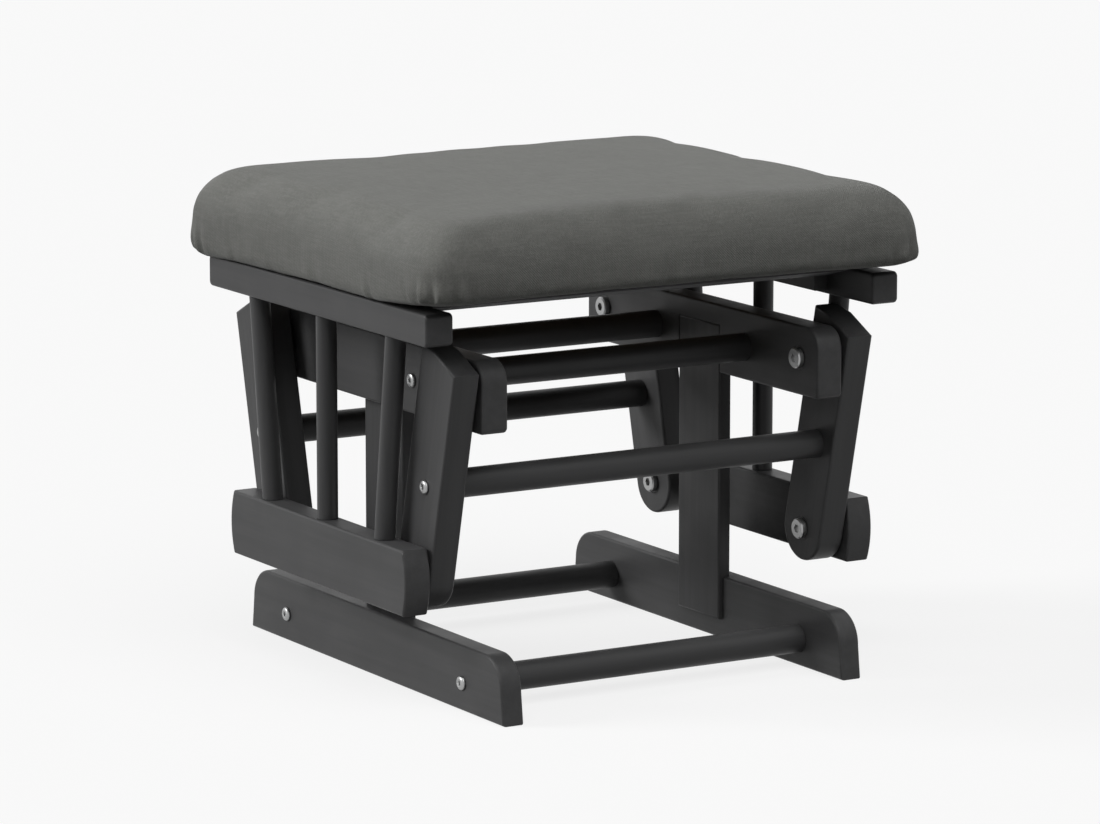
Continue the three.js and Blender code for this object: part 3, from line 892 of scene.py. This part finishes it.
class OTTOMAN_OT_seat_frame(bpy.types.Operator):
    """Adds the lower rails, the seat rails, the spindles and the deck with its cleats"""
    bl_idname = "ottoman.seat_frame"
    bl_label = "Seat frame"

    def execute(self, context):
        settings = context.scene.ottoman_wood
        for side in SIDES:
            self.lower_rail(side, settings)
            self.seat_rail(side, settings)
            for place in SPINDLE_PLACES:
                self.spindle(side, place, settings)
            self.cleat(side)
        self.deck()
        return {"FINISHED"}

    def lower_rail(self, side, settings):
        """A rail whose two ends are gently bowed."""
        name = f"lower_rail_{side}"
        low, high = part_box(name)
        height = high.z - low.z
        radius = (height * height / 4 + RAIL_BULGE * RAIL_BULGE) / (2 * RAIL_BULGE)
        sweep = 2 * math.asin(height / 2 / radius)
        corner, centre = high.y - RAIL_BULGE, high.y - radius
        mid = (low.z + high.z) / 2
        obj = board(name, "board", [
            ("line", -corner, low.z), ("line", corner, low.z), ("arc", centre, mid, sweep, 14),
            ("line", -corner, high.z), ("arc", -centre, mid, sweep, 14),
        ], settings.edge, painted_wood("along"))
        out = side_sign(side)
        inner = low.x if side == "right" else high.x
        bars = self.mortises(side)
        for end in ENDS:
            spot = middle(f"bottom_pivot_bolt_{side}_{end}")
            bars.append(bore(inner - out * OVERRUN, inner + out * PIVOT_BITE, spot,
                             PIVOT_SHANK + PLAY))
        cut_holes(obj, bars)
        place_piece(obj, "seat", name)

    def seat_rail(self, side, settings):
        name = f"seat_rail_{side}"
        low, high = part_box(name)
        corner = settings.seat_rail_corner
        moves = rounded_moves(high.y, low.z, high.z, corner, corner, steps=6)
        obj = board(name, "board", moves, settings.edge, painted_wood("along"))
        cut_holes(obj, self.mortises(side))
        place_piece(obj, "seat", name)

    def stem(self, side, place):
        """The two ends of a spindle's stem, where it meets the faces of the rails."""
        x = middle(f"spindle_{side}_{place}").x
        share = {"front": -1, "middle": 0, "rear": 1}[place]
        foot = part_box(f"lower_rail_{side}")[1].z
        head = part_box(f"seat_rail_{side}")[0].z
        return Vector((x, share * SPINDLE_FOOT, foot)), Vector((x, share * SPINDLE_HEAD, head))

    def mortises(self, side):
        """The holes for the tenons of one side's spindles, in both of its rails."""
        bars = []
        deep, radius = SPINDLE_TENON + PLAY, SPINDLE_TENON_RADIUS + PLAY
        for place in SPINDLE_PLACES:
            bottom, top = self.stem(side, place)
            along = (top - bottom).normalized()
            bars.append((bottom - along * deep, bottom + along * MORTISE_LIP, radius, BOLT_SIDES))
            bars.append((top - along * MORTISE_LIP, top + along * deep, radius, BOLT_SIDES))
        return bars

    def spindle(self, side, place, settings):
        """A spindle, made upright and then sheared, so that its ends lie flat on the rails."""
        name = f"spindle_{side}_{place}"
        bottom, top = self.stem(side, place)
        height = top.z - bottom.z
        obj = rod(f"{name}_bar", (0, 0, 0), (0, 0, height), settings.spindle / 2,
                  painted_wood("upright"), hollow_ends=True)
        slope = (top.y - bottom.y) / height
        shear = Matrix.Identity(4)
        shear[1][2] = slope
        shear[1][1] = math.hypot(1, slope)
        obj.data.transform(Matrix.Translation(bottom) @ shear)
        settle(obj)
        place_piece(obj, "seat", name)

    def cleat(self, side):
        name = f"deck_cleat_{side}"
        moves = plain_moves(*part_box(name))
        obj = settle(board(name, "strip", moves, CLEAT_EDGE, painted_wood("along")))
        place_piece(obj, "seat", name)

    def deck(self):
        """The thin panel under the cushion, bevelled below at both ends."""
        low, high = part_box("seat_deck")
        run, step = DECK_BEVEL_RUN, high.z - DECK_LIP
        obj = settle(board("seat_deck", "panel", [
            ("line", low.y + run, low.z), ("line", high.y - run, low.z), ("line", high.y, step),
            ("line", high.y, high.z), ("line", low.y, high.z), ("line", low.y, step),
        ], DECK_EDGE, raw_plywood()))
        place_piece(obj, "seat", "seat_deck")


class OTTOMAN_OT_bolts(bpy.types.Operator):
    """Adds the button-headed bolts at the ends of the cross dowels"""
    bl_idname = "ottoman.bolts"
    bl_label = "Bolts"

    def execute(self, context):
        for kind in ("foot_bolt", "top_bolt", "arm_bolt"):
            for side in SIDES:
                for end in ENDS:
                    body = arm_body(end) if kind == "arm_bolt" else "base"
                    self.bolt(f"{kind}_{side}_{end}", side, body)
        return {"FINISHED"}

    def bolt(self, name, side, body):
        low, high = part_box(name)
        head, height, wall = (high.z - low.z) / 2, BOLT_HEAD_HEIGHT, BOLT_HEAD_WALL
        length = high.x - low.x - height
        profile = [
            (0, -length), (BOLT_SHANK - BOLT_TIP, -length), (BOLT_SHANK, BOLT_TIP - length),
            (BOLT_SHANK, -BOLT_HEAD_EASE), (BOLT_SHANK, 0), (head - BOLT_HEAD_EASE, 0),
            (head, BOLT_HEAD_EASE), (head, height * wall),
        ]
        for step in range(1, BOLT_HEAD_STEPS + 1):
            angle = step / BOLT_HEAD_STEPS * QUARTER
            radius = head * (BOLT_HEAD_FLAT + (1 - BOLT_HEAD_FLAT) * math.cos(angle))
            profile.append((radius, height * (wall + (1 - wall) * math.sin(angle))))
        profile.append((0, height))
        obj = turned(f"{name}_head", profile, zinc_steel())
        axis = Vector((0, 0, 0))
        cut_holes(obj, [bore(height - BOLT_SOCKET_DEPTH, height + OVERRUN, axis,
                             BOLT_SOCKET_RADIUS, HEX_SIDES)])
        face = high.x - height if side == "right" else low.x + height
        set_against(obj, side, face, (low + high) / 2)
        obj.data.shade_smooth()
        obj.data.set_sharp_from_angle(angle=SHARP_ANGLE)
        place_piece(obj, body, name)


class OTTOMAN_OT_pivots(bpy.types.Operator):
    """Adds the pivot bolts at both ends of the swing arms, and the bushes that they turn in"""
    bl_idname = "ottoman.pivots"
    bl_label = "Pivots"

    def execute(self, context):
        for side in SIDES:
            for end in ENDS:
                place, arms = f"{side}_{end}", arm_body(end)
                self.pivot_bolt(f"top_pivot_bolt_{place}", side, arms)
                self.pivot_bolt(f"bottom_pivot_bolt_{place}", side, "seat")
                self.bush(f"top_bush_{place}", side, "base", f"top_rail_{side}", 0)
                play = REAR_BUSH_PLAY if end == "rear" else 0
                self.bush(f"bottom_bush_{place}", side, arms, f"swing_arm_{place}", play)
        return {"FINISHED"}

    def pivot_bolt(self, name, side, body):
        low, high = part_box(name)
        head, height, tip, ease = PIVOT_HEAD, PIVOT_HEAD_HEIGHT, PIVOT_TIP, PIVOT_EASE
        length = high.x - low.x - height
        obj = turned(f"{name}_steel", [
            (0, -height), (head - tip, -height), (head, tip - height), (head, -ease),
            (head - ease, 0), (PIVOT_SHANK, 0), (PIVOT_SHANK, length - tip),
            (PIVOT_SHANK - tip, length), (0, length),
        ], zinc_steel())
        axis = Vector((0, 0, 0))
        cut_holes(obj, [bore(-height - OVERRUN, PIVOT_SOCKET_DEPTH - height, axis,
                             PIVOT_SOCKET_RADIUS, HEX_SIDES)])
        face = low.x + height if side == "right" else high.x - height
        set_against(obj, side, face, (low + high) / 2)
        place_piece(obj, body, name)

    def bush(self, name, side, body, board_name, play):
        """A bush pressed through a board, with a flange on the board's outer face."""
        low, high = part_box(name)
        board_low, board_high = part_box(board_name)
        bore_radius = PIVOT_SHANK + PLAY + play
        shoulder, reach = board_high.x - board_low.x, high.x - low.x
        ease = min(BUSH_EASE, (reach - shoulder) / 2)
        obj = turned(f"{name}_ring", [
            (bore_radius, 0), (BUSH_BODY, 0), (BUSH_BODY, shoulder), (BUSH_FLANGE, shoulder),
            (BUSH_FLANGE, reach - ease), (BUSH_FLANGE - ease, reach),
            (bore_radius + ease, reach), (bore_radius, reach - ease), (bore_radius, 0),
        ], moulded_nylon())
        set_against(obj, side, low.x if side == "right" else high.x, (low + high) / 2)
        settle(obj)
        place_piece(obj, body, name)


def smooth(value, start, end):
    """Nought below start, one above end, and a soft rise between."""
    share = min(1.0, max(0.0, (value - start) / (end - start)))
    return share * share * (3 - 2 * share)


class Foam:
    """The cushion's form: rounded rectangles from the underside up to the crown."""

    def __init__(self, low, high, settings):
        self.low, self.high = low, high + Vector((0, 0, settings.proud))
        self.half = (high - low) / 2
        self.centre = (high + low) / 2
        self.crown = settings.crown
        self.corner = settings.corner
        self.side_pull, self.end_pull = settings.side_pull, settings.end_pull
        self.top_round, self.bottom_round = settings.top_round, settings.bottom_round
        self.shrink = settings.reach * FOAM_SHRINK

    def point(self, unit):
        """Where a point of a cube of side two goes."""
        reach = max(abs(unit.x), abs(unit.y), TINY)
        edge = self.high.z - self.low.z - self.crown
        inset, height = self.wall((unit.z + 1) / 2, edge)
        x, y = self.ring(unit.x / reach, unit.y / reach, inset + self.shrink)
        x, y = x * reach, y * reach
        share_x, share_y = x / self.half.x, y / self.half.y
        bow_x, bow_y = math.cos(share_x * QUARTER), math.cos(share_y * QUARTER)
        if unit.z > 0.999:
            height += self.crown * (bow_x * bow_y) ** CROWN_FULLNESS
        x -= share_x * self.side_pull * bow_y ** 2
        y -= share_y * self.end_pull * bow_x ** 2
        shrunk = height * (1 - self.shrink / edge)
        return Vector((x + self.centre.x, y + self.centre.y, self.low.z + BLANK_LIFT + shrunk))

    def wall(self, turn, edge):
        """How far in and how high the side lies, from its foot at 0 to its top at 1."""
        under_wide, under_tall = self.bottom_round
        wide, tall = self.top_round
        if turn < UNDER_TURN:
            angle = turn / UNDER_TURN * QUARTER
            return under_wide * (1 - math.sin(angle)), under_tall * (1 - math.cos(angle))
        if turn < STRAIGHT_TURN:
            share = (turn - UNDER_TURN) / (STRAIGHT_TURN - UNDER_TURN)
            return 0, under_tall + share * (edge - tall - under_tall)
        angle = (turn - STRAIGHT_TURN) / (1 - STRAIGHT_TURN) * QUARTER
        return wide * (1 - math.cos(angle)), edge - tall + tall * math.sin(angle)

    def ring(self, x, y, inset):
        """A point on the square's rim, moved to a rectangle with round corners."""
        half_x, half_y = self.half.x - inset, self.half.y - inset
        flat_x, flat_y = half_x - self.corner, half_y - self.corner
        px, py = x * half_x, y * half_y
        out_x, out_y = abs(px) - flat_x, abs(py) - flat_y
        if out_x > 0 and out_y > 0:
            length = math.hypot(out_x, out_y)
            px = math.copysign(flat_x + out_x / length * self.corner, px)
            py = math.copysign(flat_y + out_y / length * self.corner, py)
        return px, py


class OTTOMAN_OT_cushion(bpy.types.Operator):
    """Adds the cushion, blown up as cloth, with the gathers of its cover at the corners"""
    bl_idname = "ottoman.cushion"
    bl_label = "Cushion"

    def execute(self, context):
        settings = context.scene.ottoman_cushion
        foam = Foam(*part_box("cushion"), settings)
        obj = self.blank(foam)
        remesh = obj.modifiers.new("cells", "REMESH")
        remesh.mode = "VOXEL"
        remesh.voxel_size = settings.voxel
        settle(obj)
        self.blow_up(context, obj, settings)
        self.ease(obj, foam)
        self.fit(obj, foam)
        finer = obj.modifiers.new("finer", "SUBSURF")
        finer.levels = finer.render_levels = 1
        settle(obj)
        self.gather(obj, foam, settings)
        obj.data.materials.clear()
        obj.data.materials.append(woven_cloth())
        obj.data.shade_smooth()
        place_piece(obj, "seat", "cushion")
        return {"FINISHED"}

    def blank(self, foam):
        """The cut foam, a little smaller than the finished cushion."""
        bm = bmesh.new()
        bmesh.ops.create_cube(bm, size=2)
        bmesh.ops.subdivide_edges(bm, edges=bm.edges, cuts=FOAM_CUTS, use_grid_fill=True)
        for vert in bm.verts:
            vert.co = foam.point(vert.co)
        bmesh.ops.recalc_face_normals(bm, faces=bm.faces)
        cover = bpy.data.materials.new("plain_cover")
        return into_object("cushion_pad", bm, cover, weighted=False)

    def blow_up(self, context, obj, settings):
        """The cover swells under the filling's pressure, no point by more than the reach."""
        start = [vert.co.copy() for vert in obj.data.vertices]
        cloth = obj.modifiers.new("cover", "CLOTH")
        cloth.settings.use_pressure = True
        cloth.settings.uniform_pressure_force = settings.pressure
        cloth.settings.effector_weights.gravity = 0
        cloth.settings.quality = 6
        cloth.settings.mass = 0.3
        cloth.settings.tension_stiffness = 15
        cloth.settings.compression_stiffness = 15
        cloth.settings.bending_stiffness = 0.4
        cloth.point_cache.frame_start = 1
        cloth.point_cache.frame_end = SWELL_FRAMES
        for step in range(1, SWELL_FRAMES + 1):
            context.scene.frame_set(step)
        graph = context.evaluated_depsgraph_get()
        swollen = obj.evaluated_get(graph)
        moved = [vert.co.copy() for vert in swollen.data.vertices]
        obj.modifiers.remove(cloth)
        context.scene.frame_set(1)
        for vert, before, after in zip(obj.data.vertices, start, moved):
            step = after - before
            if step.length > settings.reach:
                step *= settings.reach / step.length
            vert.co = before + step

    def ease(self, obj, foam):
        """Takes the finest crumples out of the upper part, where the cover lies taut."""
        bm = bmesh.new()
        bm.from_mesh(obj.data)
        taut = [vert for vert in bm.verts if vert.co.z > foam.low.z + TAUT_FROM]
        for _ in range(EASE_ROUNDS):
            bmesh.ops.smooth_vert(
                bm, verts=taut, factor=0.5, use_axis_x=True, use_axis_y=True, use_axis_z=True)
        bm.to_mesh(obj.data)
        bm.free()

    def fit(self, obj, foam):
        """Stretches the cover to its size, and lays its underside flat on the deck."""
        verts = obj.data.vertices
        for vert in verts:
            vert.co.z = max(vert.co.z, foam.low.z)
        low = Vector(min(vert.co[axis] for vert in verts) for axis in range(3))
        high = Vector(max(vert.co[axis] for vert in verts) for axis in range(3))
        for vert in verts:
            share = Vector((vert.co[axis] - low[axis]) / (high[axis] - low[axis])
                           for axis in range(3))
            vert.co = Vector(foam.low[axis] + share[axis] * (foam.high[axis] - foam.low[axis])
                             for axis in range(3))

    def gather(self, obj, foam, settings):
        """Marks of a cover drawn under the pad: corner gathers, pulls along the edge, hollows."""
        rng = random.Random(GATHER_SEED)
        pulls = {side: self.pulls(rng, foam.half[1 - side[0]], settings)
                 for side in ((0, -1), (0, 1), (1, -1), (1, 1))}
        pulls[0, -1] = LEFT_PULLS
        phases = {corner: rng.uniform(0, math.tau)
                  for corner in ((-1, -1), (1, -1), (1, 1), (-1, 1))}
        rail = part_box("seat_rail_right")[1]
        normals = [vert.normal.copy() for vert in obj.data.vertices]
        for vert, normal in zip(obj.data.vertices, normals):
            co = vert.co.copy()
            up = co.z - foam.low.z
            level = Vector((normal.x, normal.y, 0))
            axis = 0 if abs(normal.x) > abs(normal.y) else 1
            side = (axis, 1 if co[axis] > 0 else -1)
            slide = self.pulled(pulls[side], co[1 - axis], up) * min(1, level.length * 1.5)
            slide += self.fold(co, up, level.length, phases, foam, settings)
            hollow = noise.noise(co * HOLLOW_SCALE + HOLLOW_OFFSET)
            ripple = noise.noise(co * RIPPLE_SCALE + RIPPLE_OFFSET)
            dent = HOLLOW_DEPTH * hollow + RIPPLE_DEPTH * ripple
            vert.co = co + normal * smooth(up, 0.0, REST_HEIGHT) * dent + level * slide
            risen = smooth(-co.y, rail.y + LIFT_START, rail.y + LIFT_FULL)
            vert.co.z += settings.front_lift * risen * max(0, 1 - up / LIFT_HEIGHT)
            beyond = smooth(abs(co.x), rail.x + DROOP_START, rail.x + DROOP_FULL)
            vert.co.z -= settings.droop * beyond * (1 - risen) * max(0, 1 - up / DROOP_HEIGHT)

    def fold(self, co, up, steep, phases, foam, settings):
        """How far a gather stands out round a corner: nought away from the corners and above."""
        from_x = abs(co.x) - (foam.half.x - foam.corner - foam.side_pull * PULL_AT_CORNER)
        from_y = abs(co.y) - (foam.half.y - foam.corner - foam.end_pull * PULL_AT_CORNER)
        near = smooth(min(from_x, from_y), GATHER_START, GATHER_FULL)
        if near <= 0 or max(from_x, from_y) <= GATHER_SIDE:
            return 0.0
        corner = (1 if co.x > 0 else -1, 1 if co.y > 0 else -1)
        angle = math.atan2(from_y + GATHER_CENTRE, from_x + GATHER_CENTRE)
        wave = angle / QUARTER * settings.pleats * math.tau + phases[corner]
        height = settings.pleat_height * (1 + GATHER_UNEVEN * math.sin(wave / 2))
        fade = 1 - smooth(up, GATHER_FOOT, height)
        crest = math.sin(wave + FOLD_SKEW * math.sin(wave)) - FOLD_SINK
        return settings.pleat_depth * fade * near * steep * crest

    def pulls(self, rng, half, settings):
        """Where the cover is stapled along one side, as (place, width, depth, height)."""
        made = []
        place = -half + rng.uniform(*PULL_FIRST)
        while place < half - PULL_MARGIN:
            made.append((place, rng.uniform(*PULL_WIDTH), rng.uniform(*PULL_DEPTH),
                         rng.uniform(*PULL_SHARE) * settings.pleat_height))
            place += rng.uniform(*PULL_SPACING)
        return made

    def pulled(self, pulls, place, up):
        """How far the cover stands out at a place: a narrow furrow with a soft ridge beside it."""
        out = 0.0
        for centre, width, depth, height in pulls:
            apart = (place - centre) / width
            if abs(apart) < PULL_REACH:
                fade = 1 - smooth(up, 0.0, height)
                ridge = RIDGE_SHARE * math.exp(-(apart - RIDGE_PLACE) ** 2)
                out += depth * fade * (ridge - math.exp(-apart * apart))
        return out


# Stage

class OTTOMAN_OT_stage(bpy.types.Operator):
    """Adds the pale floor, the soft lights and the camera"""
    bl_idname = "ottoman.stage"
    bl_label = "Stage"

    def execute(self, context):
        settings = context.scene.ottoman_stage
        self.floor(settings)
        self.surround(context, settings)
        self.lamp("key", settings.key, KEY_FROM, KEY_WIDTH)
        self.lamp("overhead", settings.overhead, OVERHEAD_FROM, OVERHEAD_WIDTH)
        self.camera(context, settings)
        context.scene.view_settings.view_transform = "Standard"
        return {"FINISHED"}

    def floor(self, settings):
        bm = bmesh.new()
        place = Matrix.Translation((0, 0, -FLOOR_DROP))
        bmesh.ops.create_grid(bm, x_segments=1, y_segments=1, size=FLOOR_SIZE, matrix=place)
        into_object("floor", bm, self.floor_material(settings), weighted=False)

    def floor_material(self, settings):
        """White to the camera and to gloss, with the object's shadow; darker to other light."""
        material, tree, shader = new_material("pale_floor")
        tone = blend_colours(tree, seen_directly(tree), tuple(settings.floor), FLOOR_SEEN)
        fill(tree, shader, {"Base Color": tone, "Roughness": 1.0, "Specular IOR Level": 0.0})
        white = node(tree, "ShaderNodeEmission", {"Color": WHITE, "Strength": 1.0})
        share = math_node(tree, "MULTIPLY", seen_directly(tree), FLOOR_GLOW)
        mix_shaders(tree, share, shader.outputs["BSDF"], white.outputs["Emission"],
                    "Material Output")
        return material

    def surround(self, context, settings):
        """A faint even light, and white where the camera or gloss looks past the floor."""
        world = bpy.data.worlds.new("studio")
        world.use_nodes = True
        context.scene.world = world
        tree = world.node_tree
        faint = tree.nodes["Background"]
        fill(tree, faint, {"Color": WHITE, "Strength": settings.surround})
        seen = node(tree, "ShaderNodeBackground", {"Color": WHITE, "Strength": 1})
        mix_shaders(tree, seen_directly(tree), faint.outputs["Background"],
                    seen.outputs["Background"], "World Output")

    def lamp(self, name, strength, towards, width):
        """A distant soft light, so that the floor is lit alike everywhere."""
        light = bpy.data.lights.new(name, "SUN")
        light.energy = strength
        light.angle = math.radians(width)
        obj = bpy.data.objects.new(name, light)
        obj.location = Vector(towards) * LAMP_DISTANCE
        obj.rotation_euler = (-Vector(towards)).to_track_quat("-Z", "Y").to_euler()
        bpy.context.scene.collection.objects.link(obj)

    def camera(self, context, settings):
        data = bpy.data.cameras.new("view")
        data.lens = settings.lens
        data.sensor_width = SENSOR_WIDTH
        obj = bpy.data.objects.new("view", data)
        obj.location = CAMERA_PLACE
        obj.rotation_euler = (CAMERA_AIM - CAMERA_PLACE).to_track_quat("-Z", "Y").to_euler()
        context.scene.collection.objects.link(obj)
        context.scene.camera = obj


class OTTOMAN_PT_panel(bpy.types.Panel):
    """Lists the ottoman's pieces"""
    bl_idname = "OTTOMAN_PT_panel"
    bl_label = "Glider Ottoman"
    bl_space_type = "VIEW_3D"
    bl_region_type = "UI"
    bl_category = "Ottoman"

    def draw(self, context):
        scene = context.scene
        for group in (scene.ottoman_wood, scene.ottoman_cushion, scene.ottoman_stage):
            box = self.layout.box()
            for name in group.bl_rna.properties.keys():
                if name not in ("rna_type", "name"):
                    box.prop(group, name)
        for operator in OPERATORS:
            self.layout.operator(operator.bl_idname)


OPERATORS = (
    OTTOMAN_OT_runners, OTTOMAN_OT_top_rails, OTTOMAN_OT_uprights, OTTOMAN_OT_dowels,
    OTTOMAN_OT_arms, OTTOMAN_OT_seat_frame, OTTOMAN_OT_bolts, OTTOMAN_OT_pivots,
    OTTOMAN_OT_cushion, OTTOMAN_OT_stage,
)
GROUPS = (OttomanWood, OttomanCushion, OttomanStage)


def register():
    for item in (*GROUPS, *OPERATORS, OTTOMAN_PT_panel):
        bpy.utils.register_class(item)
    bpy.types.Scene.ottoman_wood = bpy.props.PointerProperty(type=OttomanWood)
    bpy.types.Scene.ottoman_cushion = bpy.props.PointerProperty(type=OttomanCushion)
    bpy.types.Scene.ottoman_stage = bpy.props.PointerProperty(type=OttomanStage)


def unregister():
    del bpy.types.Scene.ottoman_wood
    del bpy.types.Scene.ottoman_cushion
    del bpy.types.Scene.ottoman_stage
    for item in reversed((*GROUPS, *OPERATORS, OTTOMAN_PT_panel)):
        bpy.utils.unregister_class(item)


def main():
    register()
    for operator in OPERATORS:
        group, name = operator.bl_idname.split(".")
        getattr(getattr(bpy.ops, group), name)()


if __name__ == "__main__":
    main()
